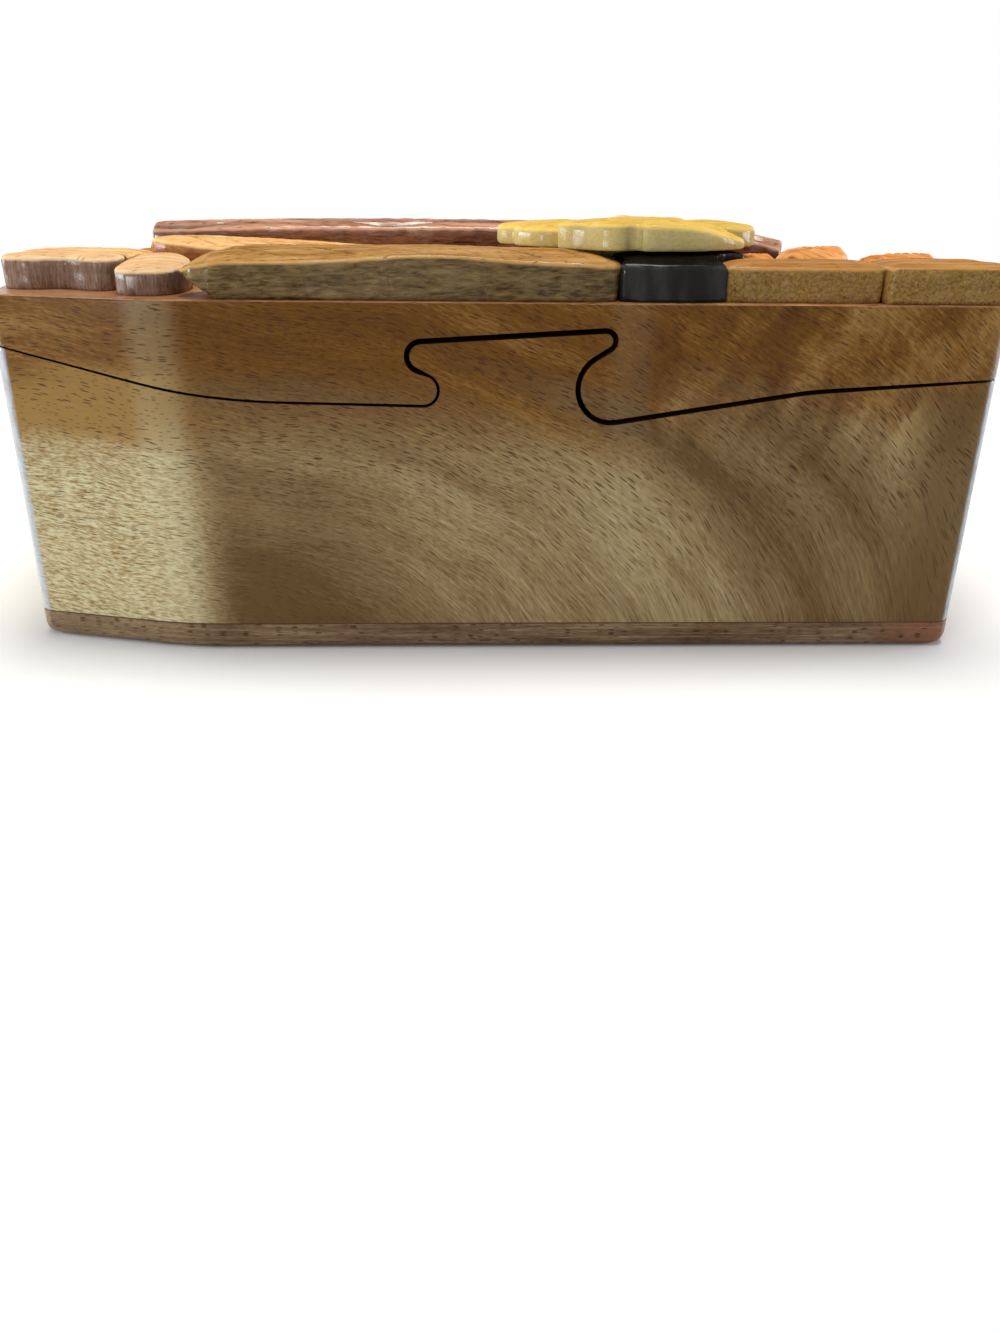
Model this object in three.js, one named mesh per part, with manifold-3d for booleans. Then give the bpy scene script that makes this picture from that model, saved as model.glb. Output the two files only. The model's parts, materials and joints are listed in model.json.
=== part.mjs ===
// A wooden puzzle box, in millimetres, +Z up, standing on Z = 0 and centred on X and Y.
// One solid block is sawn through from front to back along a line with a jigsaw tongue, so that the
// lid can't be lifted: it slides off along Y. The body is hollowed and closed by a bottom board. A
// relief of shaped wooden pieces, a blossom branch with leaves, is glued on the lid.
import * as THREE from "three";
import { mergeVertices } from "three/addons/utils/BufferGeometryUtils.js";
import Module from "manifold-3d";

const wasm = await Module();
wasm.setup();

// Block: the front face between its two upright edges, the depth, and the height without the relief
const boxWidth = 200;
const boxDepth = 140;
const boxHeight = 72;
const endBulge = 7; // how far each end bows out in plan
const sweepLength = 34; // the left end's corners are swept back over this length
const sweepDepth = 8.5;
const sweepBlend = 60; // radius where the sweep leaves the long face
const leftEdgeRadius = 4;
const rightEdgeRadius = 4;
const lidEdgeRound = 0.7;
const footRound = 2.6;

// Body and bottom board
const wallThickness = 12;
const cavityRadius = 10;
const boardThickness = 6;
const liningThickness = 1.2;
const liningClearance = 0.5;

// Saw line: depths below the lid's top, and places from the middle of the front
const cutLeftDepth = 6.6;
const cutRightDepth = 13.1;
const leftRunX = -40;
const leftRunDepth = 19.1;
const leftRunRadius = 140;
const lipX = -14.9;
const lipDepth = 16.6;
const lipRadius = 3.05;
const headLeftX = -15.1;
const headLeftDepth = 10.15;
const headLeftRadius = 2.85;
const headRightX = 20.8;
const headRightDepth = 7;
const headRightRadius = 1.9;
const neckX = 22.4;
const neckDepth = 16.1;
const neckRadius = 6.7;
const rightRunX = 68.8;
const rightRunDepth = 16.3;
const rightRunRadius = 60;
const endKerf = 0.3;
const leftRunKerf = 0.5;
const lipKerf = 0.6;
const tongueKerf = 1.1;
const rightRunKerf = 0.95;
const sawStep = 2.5; // longest straight step along a bend

// Magnets, set in pockets in both end walls
const magnetDiameter = 6;
const magnetThickness = 3;
const magnetPocketGap = 0.15;
const magnetRecess = 0.5;

// Relief: outlines are drawn on a lid of this size and stretched to the real one
const drawnWidth = 200;
const drawnDepth = 140;
const reliefInset = 1.2; // kept clear along the lid's edge
const pieceGap = 0.35; // between neighbouring pieces
const reliefEdgeRound = 1;
const petalUnderside = 8.8; // the big blossom's rims hang over their neighbours from this height
const petalFootRadius = 18;

const halfWidth = boxWidth / 2;
const halfDepth = boxDepth / 2;
const overrun = 8; // how far cutting solids reach past what they cut

// Lists and outlines

const steps = (count) => Array.from({ length: count }, (unused, i) => i);
const lerp = THREE.MathUtils.lerp;
const vector = ([x, y]) => new THREE.Vector2(x, y);

// An arc's points, both ends included.
function arcPoints(centre, radius, start, end, count) {
  return steps(count + 1).map((i) => {
    const angle = lerp(start, end, i / count);
    return new THREE.Vector2(
      centre.x + radius * Math.cos(angle),
      centre.y + radius * Math.sin(angle),
    );
  });
}

// Moves each side of a convex counter-clockwise polygon inwards.
function insetPolygon(points, inset) {
  const count = points.length;
  return points.map((point, i) => {
    const before = point.clone().sub(points[(i + count - 1) % count]).normalize();
    const after = points[(i + 1) % count].clone().sub(point).normalize();
    const normalBefore = new THREE.Vector2(-before.y, before.x);
    const normalAfter = new THREE.Vector2(-after.y, after.x);
    const middle = normalBefore.clone().add(normalAfter);
    const reach = (2 * inset) / middle.lengthSq();
    return point.clone().addScaledVector(middle, reach);
  });
}

// Rounds the corners of a convex polygon; radii[i] of 0 leaves a corner as it is.
function filletPolygon(points, radii, segments) {
  const count = points.length;
  return points.flatMap((point, i) => {
    if (!radii[i]) return [point];
    const toBefore = points[(i + count - 1) % count].clone().sub(point).normalize();
    const toAfter = points[(i + 1) % count].clone().sub(point).normalize();
    const half = Math.acos(THREE.MathUtils.clamp(toBefore.dot(toAfter), -1, 1)) / 2;
    const tangent = radii[i] / Math.tan(half);
    const start = point.clone().addScaledVector(toBefore, tangent);
    const end = point.clone().addScaledVector(toAfter, tangent);
    const bisector = toBefore.clone().add(toAfter).normalize();
    const centre = point.clone().addScaledVector(bisector, radii[i] / Math.sin(half));
    const startAngle = Math.atan2(start.y - centre.y, start.x - centre.x);
    let endAngle = Math.atan2(end.y - centre.y, end.x - centre.x);
    if (endAngle < startAngle) endAngle += 2 * Math.PI;
    return arcPoints(centre, radii[i], startAngle, endAngle, segments);
  });
}

// The box's outline seen from above, drawn in by an inset, with a least corner radius.
function boxOutline(inset = 0, leastRadius = 0) {
  const bowSteps = 8;
  // The first and last steps are the longest, which leaves room for the rounded corners.
  const bow = (side, reach) =>
    steps(bowSteps + 1).map((i) => {
      const even = lerp(-1, 1, i / bowSteps);
      const share = even * (0.6 + 0.4 * even ** 2);
      return new THREE.Vector2(side * (halfWidth + endBulge * (1 - share ** 2)), share * reach);
    });
  const rightEnd = bow(1, halfDepth);
  const leftEnd = bow(-1, halfDepth - sweepDepth).reverse();
  const sweepX = sweepLength - halfWidth;
  const corners = [
    ...rightEnd,
    new THREE.Vector2(sweepX, halfDepth),
    ...leftEnd,
    new THREE.Vector2(sweepX, -halfDepth),
  ];
  const radii = corners.map(() => 0);
  const cornerRadius = (radius) => Math.max(radius - inset, leastRadius, 0.5);
  const leftStart = rightEnd.length + 1;
  radii[0] = cornerRadius(rightEdgeRadius);
  radii[rightEnd.length - 1] = cornerRadius(rightEdgeRadius);
  radii[rightEnd.length] = sweepBlend - inset;
  radii[leftStart] = cornerRadius(leftEdgeRadius);
  radii[leftStart + leftEnd.length - 1] = cornerRadius(leftEdgeRadius);
  radii[corners.length - 1] = sweepBlend - inset;
  return filletPolygon(insetPolygon(corners, inset), radii, 5);
}

// Solids

// A closed solid from rings of points, lowest first, all counter-clockwise and of equal length.
function loft(rings) {
  const count = rings[0].length;
  const positions = rings.flat().flatMap((point) => [point.x, point.y, point.z]);
  const index = [];
  for (let ring = 0; ring + 1 < rings.length; ring++)
    for (let i = 0; i < count; i++) {
      const next = (i + 1) % count;
      const low = ring * count;
      const high = low + count;
      index.push(low + i, low + next, high + next);
      index.push(low + i, high + next, high + i);
    }
  const flat = (ring) => ring.map((point) => new THREE.Vector2(point.x, point.y));
  const top = (rings.length - 1) * count;
  for (const [a, b, c] of THREE.ShapeUtils.triangulateShape(flat(rings[0]), []))
    index.push(a, c, b);
  for (const [a, b, c] of THREE.ShapeUtils.triangulateShape(flat(rings.at(-1)), []))
    index.push(top + a, top + b, top + c);
  const geometry = new THREE.BufferGeometry();
  geometry.setAttribute("position", new THREE.Float32BufferAttribute(positions, 3));
  geometry.setIndex(index);
  return geometry;
}

const atHeight = (outline, z) => outline.map((point) => new THREE.Vector3(point.x, point.y, z));
const prism = (outline, low, high) => loft([atHeight(outline, low), atHeight(outline, high)]);

// A solid that booleans can work on, from a closed geometry.
function solid(geometry) {
  const bare = geometry.clone();
  bare.deleteAttribute("normal");
  bare.deleteAttribute("uv");
  const merged = mergeVertices(bare, 1e-4);
  return new wasm.Manifold(
    new wasm.Mesh({
      numProp: 3,
      vertProperties: new Float32Array(merged.attributes.position.array),
      triVerts: new Uint32Array(merged.index.array),
    }),
  );
}

function geometryOf(manifold) {
  const mesh = manifold.getMesh();
  const geometry = new THREE.BufferGeometry();
  geometry.setAttribute("position", new THREE.BufferAttribute(mesh.vertProperties, 3));
  geometry.setIndex(new THREE.BufferAttribute(mesh.triVerts, 1));
  geometry.computeVertexNormals();
  return geometry;
}

function uprightCylinder(radius, low, high, x, y) {
  const geometry = new THREE.CylinderGeometry(radius, radius, high - low, 24);
  geometry.rotateX(Math.PI / 2);
  geometry.translate(x, y, (low + high) / 2);
  return geometry;
}

// An outline of points x and height, run through the whole depth and past it.
function frontToBack(outline) {
  const geometry = new THREE.ExtrudeGeometry(new THREE.Shape(outline), {
    depth: boxDepth + 2 * overrun,
    bevelEnabled: false,
    steps: 1,
  });
  geometry.rotateX(Math.PI / 2);
  geometry.translate(0, halfDepth + overrun, 0);
  return solid(geometry);
}

// Saw line

// The circles that the blade follows, left to right, with turn 1 for a left-hand bend and -1 for a
// right-hand one. The two ends are circles of no radius.
const sawCircles = [
  { x: -halfWidth - endBulge - overrun, depth: cutLeftDepth, radius: 0, turn: 1, kerf: endKerf },
  {
    x: leftRunX,
    depth: leftRunDepth - leftRunRadius,
    radius: leftRunRadius,
    turn: 1,
    kerf: leftRunKerf,
  },
  { x: lipX, depth: lipDepth, radius: lipRadius, turn: 1, kerf: lipKerf },
  { x: headLeftX, depth: headLeftDepth, radius: headLeftRadius, turn: -1, kerf: tongueKerf },
  { x: headRightX, depth: headRightDepth, radius: headRightRadius, turn: -1, kerf: tongueKerf },
  { x: neckX, depth: neckDepth, radius: neckRadius, turn: 1, kerf: tongueKerf },
  {
    x: rightRunX,
    depth: rightRunDepth + rightRunRadius,
    radius: rightRunRadius,
    turn: -1,
    kerf: rightRunKerf,
  },
  { x: halfWidth + endBulge + overrun, depth: cutRightDepth, radius: 0, turn: 1, kerf: endKerf },
];

// One edge of the kerf: the circles joined by tangents. side is 1 for the lid's edge, above the
// saw line, and -1 for the body's.
function sawEdge(side) {
  const circles = sawCircles.map(({ x, depth, radius, turn, kerf }) => {
    const centre = new THREE.Vector2(x, boxHeight - depth);
    if (!radius) centre.y += (side * kerf) / 2;
    const grown = radius ? radius - (side * turn * kerf) / 2 : 0;
    return { centre, radius: grown, signed: turn * grown };
  });
  const directions = circles.slice(1).map((circle, i) => {
    const before = circles[i];
    const apart = circle.centre.clone().sub(before.centre);
    const lean = Math.asin((circle.signed - before.signed) / apart.length());
    return Math.atan2(apart.y, apart.x) - lean;
  });
  return circles.flatMap(({ centre, radius, signed }, i) => {
    if (!radius) return [centre];
    const start = directions[i - 1];
    const end = directions[i];
    const normal = signed > 0 ? -Math.PI / 2 : Math.PI / 2;
    const turned = THREE.MathUtils.euclideanModulo(end - start, 2 * Math.PI);
    const sweep = turned > Math.PI ? turned - 2 * Math.PI : turned;
    const bend = Math.abs(sweep);
    const count = Math.ceil(Math.max(bend / (Math.PI / 14), (radius * bend) / sawStep));
    return arcPoints(centre, radius, start + normal, start + normal + sweep, count);
  });
}

// Everything on one side of the kerf, as a solid that runs past the block on all sides.
function sawnSide(side) {
  const edge = sawEdge(side);
  const far = side > 0 ? boxHeight + overrun : -overrun;
  return frontToBack([
    ...edge,
    new THREE.Vector2(edge.at(-1).x, far),
    new THREE.Vector2(edge[0].x, far),
  ]);
}

// The lowest and highest that a kerf edge gets within a reach of x.
function sawHeights(side, x, reach) {
  const edge = sawEdge(side);
  const heights = steps(9).map((i) => {
    const at = lerp(x - reach, x + reach, i / 8);
    const k = edge.findIndex((point, j) => j > 0 && edge[j - 1].x <= at && at <= point.x);
    const share = (at - edge[k - 1].x) / (edge[k].x - edge[k - 1].x);
    return lerp(edge[k - 1].y, edge[k].y, share);
  });
  return { lowest: Math.min(...heights), highest: Math.max(...heights) };
}

// Box pieces

const magnetRadius = magnetDiameter / 2;
const magnetX = halfWidth + endBulge - wallThickness / 2;
const magnetPlaces = [-1, 1].flatMap((end) => {
  const x = end * magnetX;
  const below = sawHeights(-1, x, magnetRadius).lowest - magnetRecess;
  const above = sawHeights(1, x, magnetRadius).highest + magnetRecess;
  const label = end < 0 ? "left" : "right";
  return [
    { name: `body_magnet_${label}`, x, low: below - magnetThickness, high: below, up: 1 },
    { name: `lid_magnet_${label}`, x, low: above, high: above + magnetThickness, up: -1 },
  ];
});

function withoutMagnetPockets(part, up) {
  return magnetPlaces
    .filter((place) => place.up === up)
    .reduce((left, { x, low, high }) => {
      const open = magnetRecess + overrun;
      const from = up > 0 ? low : low - open;
      const to = up > 0 ? high + open : high;
      const pocket = uprightCylinder(magnetRadius + magnetPocketGap, from, to, x, 0);
      return left.subtract(solid(pocket));
    }, part);
}

function makeBody() {
  const block = solid(prism(boxOutline(), boardThickness, boxHeight));
  const cavity = solid(prism(boxOutline(wallThickness, cavityRadius), -overrun, boxHeight + overrun));
  return geometryOf(withoutMagnetPockets(block.intersect(sawnSide(-1)).subtract(cavity), 1));
}

function makeLid() {
  const block = loft([
    atHeight(boxOutline(), boardThickness),
    atHeight(boxOutline(), boxHeight - lidEdgeRound),
    atHeight(boxOutline(lidEdgeRound * 0.3), boxHeight - lidEdgeRound * 0.3),
    atHeight(boxOutline(lidEdgeRound), boxHeight),
  ]);
  return geometryOf(withoutMagnetPockets(solid(block).intersect(sawnSide(1)), -1));
}

function makeBottomBoard() {
  const rounding = steps(5).map((i) => {
    const angle = (i / 4) * (Math.PI / 2);
    const inset = footRound * (1 - Math.sin(angle));
    return atHeight(boxOutline(inset), footRound * (1 - Math.cos(angle)));
  });
  return loft([...rounding, atHeight(boxOutline(), boardThickness)]);
}

function makeFloorLining() {
  const outline = boxOutline(wallThickness + liningClearance, cavityRadius - liningClearance);
  return prism(outline, boardThickness, boardThickness + liningThickness);
}

// Relief outlines, drawn with x from the lid's middle and y from its front edge: each gives its
// points and, for every point, the spot on the piece's middle that the crown rises towards

// A leaf or bud between two points, bowed to its left by bow and blunt where fullness is low.
function leafShape({ from, to, width, bow = 0, fullness = 0.8, points = 13 }) {
  const start = vector(from);
  const end = vector(to);
  const along = end.clone().sub(start);
  const across = new THREE.Vector2(-along.y, along.x).normalize();
  const middle = (t) =>
    start.clone().addScaledVector(along, t).addScaledVector(across, bow * 4 * t * (1 - t));
  const half = (t) => (width / 2) * Math.sin(Math.PI * t) ** fullness;
  const side = (t, sign) => middle(t).addScaledVector(across, sign * half(t));
  const places = steps(points).map((i) => (1 - Math.cos((i / (points - 1)) * Math.PI)) / 2);
  const right = places.map((t) => ({ t, point: side(t, -1) }));
  const left = places.slice(1, -1).reverse().map((t) => ({ t, point: side(t, 1) }));
  const spots = [...right, ...left];
  return {
    outline: spots.map(({ point }) => point),
    targets: spots.map(({ t }) => middle(THREE.MathUtils.clamp(t, 0.15, 0.85))),
  };
}

// One petal of a blossom, between two angles in degrees, with dents in its rim.
function petalShape({ centre, start, end, core, rim, drop = 0.13, dents, count = 14 }) {
  const middle = vector(centre);
  const radians = THREE.MathUtils.degToRad;
  const polar = (radius, angle) =>
    new THREE.Vector2(middle.x + radius * Math.cos(angle), middle.y + radius * Math.sin(angle));
  const gapAt = (radius) => pieceGap / 2 / radius;
  const from = radians(start);
  const to = radians(end);
  const inner = core + pieceGap;
  const edge = steps(count + 1).map((i) => {
    const share = i / count;
    const shoulder = Math.abs(2 * share - 1) ** 4;
    const dent = dents.reduce(
      (sum, { at, deep, wide }) => sum + deep * Math.exp(-(((share - at) / wide) ** 2)),
      0,
    );
    const radius = rim * (1 - drop * shoulder) - dent;
    return polar(radius, lerp(from + gapAt(radius), to - gapAt(radius), share));
  });
  const root = steps(4).map((i) => polar(inner, lerp(to - gapAt(inner), from + gapAt(inner), i / 3)));
  const outline = [...edge, ...root];
  const target = polar((inner + rim) * 0.5, (from + to) / 2);
  return { outline, targets: outline.map(() => target) };
}

function discShape({ centre, radius }) {
  const middle = vector(centre);
  const outline = arcPoints(middle, radius, 0, 2 * Math.PI, 32).slice(0, -1);
  return { outline, targets: outline.map(() => middle) };
}

// A free outline through a few points, counter-clockwise, rounded by a closed spline.
function freeShape({ through, middle, count = 26, tension = 0.5 }) {
  const flat = ([x, y]) => new THREE.Vector3(x, y, 0);
  const curve = new THREE.CatmullRomCurve3(through.map(flat), true, "catmullrom", tension);
  const outline = curve.getSpacedPoints(count).slice(0, -1).map(({ x, y }) => new THREE.Vector2(x, y));
  const line = new THREE.Line3(...middle.map(flat));
  const targets = outline.map(({ x, y }) => {
    const near = line.closestPointToPoint(new THREE.Vector3(x, y, 0), true, new THREE.Vector3());
    return new THREE.Vector2(near.x, near.y);
  });
  return { outline, targets };
}

// A branch along a smooth line, with half its width, and how much higher or lower its top lies,
// named at the same points.
function branchShape({ through, halfWidths, rises, count = 22 }) {
  const curve = new THREE.SplineCurve(through.map(vector));
  const graph = (values) => new THREE.SplineCurve(values.map((value, i) => new THREE.Vector2(i, value)));
  const widths = graph(halfWidths);
  const heights = graph(rises ?? halfWidths.map(() => 0));
  const spots = steps(count + 1).map((i) => {
    const t = i / count;
    const tangent = curve.getTangent(t);
    const across = new THREE.Vector2(-tangent.y, tangent.x);
    const half = widths.getPoint(t).y;
    return { middle: curve.getPoint(t), across, half, lift: heights.getPoint(t).y };
  });
  const side = (sign) => ({ middle, across, half, lift }) => ({
    point: middle.clone().addScaledVector(across, sign * half),
    middle,
    lift,
  });
  const all = [...spots.map(side(-1)), ...[...spots].reverse().map(side(1))];
  return {
    outline: all.map(({ point }) => point),
    targets: all.map(({ middle }) => middle),
    lifts: all.map(({ lift }) => lift),
  };
}

// A drawn shape on the real lid.
function onLid({ outline, targets, lifts }) {
  const stretch = ({ x, y }) =>
    new THREE.Vector2((x * boxWidth) / drawnWidth, (y * boxDepth) / drawnDepth - halfDepth);
  return { outline: outline.map(stretch), targets: targets.map(stretch), lifts };
}

// The relief's solid: upright sides, a rounded rim, and a top that rises to its crest. Heights are
// above the lid. slope tilts the top, and each swell lifts or lowers the rim round one drawn x.
function carve({ outline, targets, lifts }, { edge, crest, slope = [0, 0], swells = [] }) {
  const centre = outline
    .reduce((sum, point) => sum.add(point), new THREE.Vector2())
    .divideScalar(outline.length);
  const tilt = (point) =>
    slope[0] * (point.x - centre.x) + slope[1] * (point.y - centre.y);
  const swelling = (point) =>
    swells.reduce((sum, { x, reach, by }) => {
      const away = (point.x * drawnWidth) / boxWidth - x;
      return sum + by * Math.exp(-((away / reach) ** 2));
    }, 0);
  const ring = (inset, share, drop) =>
    outline.map((point, i) => {
      const inward = targets[i].clone().sub(point);
      const reach = inward.length();
      const move = Math.min(inset, reach * 0.3) + share * Math.max(reach - inset, 0);
      const spot = point.clone().addScaledVector(inward, reach > 0 ? move / reach : 0);
      const rim = edge + swelling(point);
      const rise = Math.sin((Math.min(share / 0.75, 1) * Math.PI) / 2);
      const height = lerp(rim, crest, rise) + tilt(spot) + (lifts ? lifts[i] : 0);
      return new THREE.Vector3(spot.x, spot.y, boxHeight + height - drop);
    });
  const round = reliefEdgeRound;
  return loft([
    atHeight(outline, boxHeight),
    ring(0, 0, round),
    ring(round * 0.3, 0, round * 0.3),
    ring(round, 0, 0),
    ring(round, 0.3, 0),
    ring(round, 0.75, 0),
  ]);
}

// An outline grown outwards.
function grownOutline(outline, by) {
  const count = outline.length;
  return outline.map((point, i) => {
    const before = outline[(i + count - 1) % count];
    const after = outline[(i + 1) % count];
    const along = after.clone().sub(before).normalize();
    return point.clone().add(new THREE.Vector2(along.y, -along.x).multiplyScalar(by));
  });
}

// What a piece with a raised rim leaves open: all that is lower than its underside and outside its
// foot, less a gap.
function openBelow({ foot, underside }, gap) {
  const far = halfWidth + halfDepth;
  const wide = [[-far, -far], [far, -far], [far, far], [-far, far]].map(vector);
  const top = boxHeight + underside - gap;
  const inner = prism(grownOutline(onLid(foot).outline, gap), boxHeight - overrun, top);
  return solid(prism(wide, boxHeight - overrun, top)).subtract(solid(inner));
}

// What lies under a leaf's lifted tip: a wedge that starts at one drawn x and rises to another.
function wedgeBelow({ from, to, rise }) {
  const [startX, endX] = [from, to].map((x) => (x * boxWidth) / drawnWidth);
  const corners = [[startX, 0], [endX, rise], [endX, -overrun], [startX, -overrun]];
  return frontToBack(corners.map(([x, height]) => new THREE.Vector2(x, boxHeight + height)));
}

// Relief pieces, in the order in which they take their place: each is cut to clear those before it

const yellowWood = 0xc9a45c;
const ebony = 0x231d18;
const oliveWood = 0x6b5430;
const goldenWood = 0x9a6f34;
const orangeWood = 0xc9772f;
const redWood = 0x6a3a22;
const greyBrownWood = 0x8b6a50;
const paleWood = 0xd9b877;

const bigBlossom = { centre: [28, 37], core: 6 };
const bigPetals = [
  {
    name: "blossom_petal_front",
    start: -126,
    end: -32,
    rim: 30.5,
    drop: 0.09,
    dents: [
      { at: 0.15, deep: 0.9, wide: 0.06 },
      { at: 0.35, deep: 2.2, wide: 0.03 },
    ],
    count: 36,
    edge: 13.9,
    swells: [{ x: 52, reach: 10, by: -3 }],
  },
  { name: "blossom_petal_right", start: -32, end: 36, rim: 28.5, edge: 12.8 },
  { name: "blossom_petal_back_right", start: 36, end: 104, rim: 27, edge: 12.2 },
  { name: "blossom_petal_back_left", start: 104, end: 172, rim: 27, edge: 12.2 },
  { name: "blossom_petal_left", start: 172, end: 234, rim: 28, edge: 12.6 },
];
const smallBlossom = { centre: [-38, 106], core: 4.5 };
const smallPetals = steps(5).map((i) => ({
  name: `small_blossom_petal_${i + 1}`,
  start: 20 + 72 * i,
  end: 92 + 72 * i,
  rim: 18,
}));
const middleDent = (deep) => [{ at: 0.5, deep, wide: 0.07 }];

const reliefPieces = [
  ...bigPetals.map(({ name, edge, swells, dents = middleDent(2), ...petal }) => ({
    name,
    shape: petalShape({ ...bigBlossom, ...petal, dents }),
    top: { edge, crest: edge + 0.8, swells },
    raised: {
      foot: discShape({ centre: bigBlossom.centre, radius: petalFootRadius }),
      underside: petalUnderside,
    },
    colour: yellowWood,
  })),
  {
    name: "blossom_centre",
    shape: discShape({ centre: bigBlossom.centre, radius: bigBlossom.core }),
    top: { edge: 12.2, crest: 14.4 },
    colour: paleWood,
  },
  {
    name: "front_leaf",
    shape: freeShape({
      through: [
        [-63, 11], [-60, 4.5], [-55, 1], [-30, 0.6], [0, 0.6],
        [18, 0.8], [23.6, 4.5], [23.4, 18], [8, 27], [-24, 32], [-48, 26],
      ],
      middle: [[-48, 13], [10, 12]],
      count: 40,
      tension: 0.4,
    }),
    top: {
      edge: 6.9,
      crest: 9,
      swells: [
        { x: -13, reach: 16, by: 1.5 },
        { x: -64, reach: 5, by: -2 },
      ],
    },
    liftedTip: { from: -54, to: -66, rise: 6.6 },
    colour: oliveWood,
  },
  {
    name: "garden_step_right",
    shape: freeShape({
      through: [[76, 0.4], [101, 0.4], [102, 14], [97, 25], [85, 25], [76.2, 18]],
      middle: [[82, 12], [94, 12]],
      tension: 0.2,
      count: 30,
    }),
    top: { edge: 6.9, crest: 7.5 },
    colour: goldenWood,
  },
  {
    name: "garden_step_left",
    shape: freeShape({
      through: [[44, 3.4], [75.4, 3.4], [75.8, 17], [63, 22], [46, 17]],
      middle: [[51, 11], [68, 11]],
      tension: 0.2,
      count: 30,
    }),
    top: { edge: 6.8, crest: 7.4 },
    colour: goldenWood,
  },
  {
    name: "dark_bud",
    shape: freeShape({
      through: [[23.6, 2.6], [43.6, 2.6], [50, 14], [51, 23], [40, 27], [23.8, 20]],
      middle: [[30, 9], [43, 17]],
      tension: 0.35,
    }),
    top: { edge: 7.6, crest: 8.5, slope: [0, 0.05] },
    colour: ebony,
  },
  {
    name: "cloud_lobe_right",
    shape: freeShape({
      through: [
        [-75.6, 14], [-73.8, 7.6], [-68.6, 6], [-64.2, 8],
        [-62.4, 16], [-64, 27], [-69, 34], [-75.4, 31],
      ],
      middle: [[-69, 12], [-69.5, 27]],
      count: 24,
    }),
    top: { edge: 5.5, crest: 6, slope: [0, 0.045] },
    colour: greyBrownWood,
  },
  {
    name: "cloud_lobe_front",
    shape: freeShape({
      through: [
        [-100.4, 23.5], [-99, 18.2], [-92.6, 16.8], [-87.6, 18.6], [-82.4, 15.4],
        [-77.6, 15], [-76.4, 22], [-80, 30], [-94, 31],
      ],
      middle: [[-92, 24], [-82, 23]],
      count: 26,
    }),
    top: { edge: 6.4, crest: 6.9 },
    colour: greyBrownWood,
  },
  {
    name: "cloud_lobe_back",
    shape: freeShape({
      through: [[-100, 30], [-88, 28.5], [-77, 27], [-73, 34], [-79, 44], [-92, 47], [-101, 42]],
      middle: [[-94, 37], [-82, 36]],
      count: 24,
    }),
    top: { edge: 6.2, crest: 6.6 },
    colour: orangeWood,
  },
  {
    name: "branch",
    shape: branchShape({
      through: [[-80, 67], [-52, 65], [-22, 68], [8, 71], [38, 70], [61, 63], [70, 60]],
      halfWidths: [6.5, 6, 6.8, 6.4, 6, 4.8, 3.4],
      rises: [-0.4, 0.5, 0.65, 0.5, 0, -1.2, -3],
      count: 26,
    }),
    top: { edge: 10.1, crest: 11.5 },
    colour: redWood,
  },
  {
    name: "orange_leaf_left",
    shape: leafShape({ from: [-77, 47], to: [4, 45], width: 30, bow: 2, fullness: 0.6, points: 15 }),
    top: { edge: 6.4, crest: 7.2, slope: [-0.055, 0.03] },
    colour: orangeWood,
  },
  {
    name: "orange_leaf_right_1",
    shape: leafShape({ from: [50, 20], to: [64, 46], width: 13, bow: 2 }),
    top: { edge: 5.6, crest: 6.8 },
    colour: orangeWood,
  },
  {
    name: "orange_leaf_right_2",
    shape: leafShape({ from: [60, 20], to: [81, 46], width: 14, bow: 2 }),
    top: { edge: 6.9, crest: 8.5 },
    colour: orangeWood,
  },
  {
    name: "orange_leaf_right_3",
    shape: leafShape({ from: [75, 20], to: [100, 40], width: 14, bow: 1 }),
    top: { edge: 6, crest: 7.5 },
    colour: orangeWood,
  },
  {
    name: "twig_left",
    shape: branchShape({
      through: [[-30, 72], [-33, 80], [-38, 92]],
      halfWidths: [3.4, 2.8, 2.4],
      count: 8,
    }),
    top: { edge: 7.4, crest: 8.4 },
    colour: redWood,
  },
  {
    name: "twig_right",
    shape: branchShape({
      through: [[30, 72], [38, 88], [50, 104], [56, 116]],
      halfWidths: [3.6, 3, 2.6, 1.6],
      count: 12,
    }),
    top: { edge: 6.4, crest: 7.4 },
    colour: redWood,
  },
  ...smallPetals.map(({ name, ...petal }) => ({
    name,
    shape: petalShape({ ...smallBlossom, ...petal, dents: middleDent(1.4) }),
    top: { edge: 8.2, crest: 8.9 },
    colour: yellowWood,
  })),
  {
    name: "small_blossom_centre",
    shape: discShape({ centre: smallBlossom.centre, radius: smallBlossom.core }),
    top: { edge: 7.4, crest: 9 },
    colour: paleWood,
  },
  {
    name: "back_leaf_left",
    shape: leafShape({ from: [-52, 84], to: [-92, 74], width: 15, bow: 2 }),
    top: { edge: 3.6, crest: 4.6 },
    colour: goldenWood,
  },
  {
    name: "back_leaf_far_left",
    shape: leafShape({ from: [-58, 106], to: [-95, 112], width: 18, bow: -2 }),
    top: { edge: 3.6, crest: 4.6 },
    colour: oliveWood,
  },
  {
    name: "back_leaf_middle",
    shape: leafShape({ from: [-14, 84], to: [28, 116], width: 22, bow: -3 }),
    top: { edge: 6.2, crest: 7.6 },
    colour: oliveWood,
  },
  {
    name: "back_leaf_right",
    shape: leafShape({ from: [48, 90], to: [86, 82], width: 17, bow: -2 }),
    top: { edge: 3.4, crest: 4.4 },
    colour: orangeWood,
  },
  {
    name: "back_bud_right",
    shape: leafShape({ from: [56, 114], to: [72, 126], width: 13, fullness: 0.7 }),
    top: { edge: 5, crest: 6.6 },
    colour: yellowWood,
  },
  {
    name: "back_bud_left",
    shape: leafShape({ from: [-18, 124], to: [6, 130], width: 11, fullness: 0.7 }),
    top: { edge: 5.6, crest: 7 },
    colour: ebony,
  },
];

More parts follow.
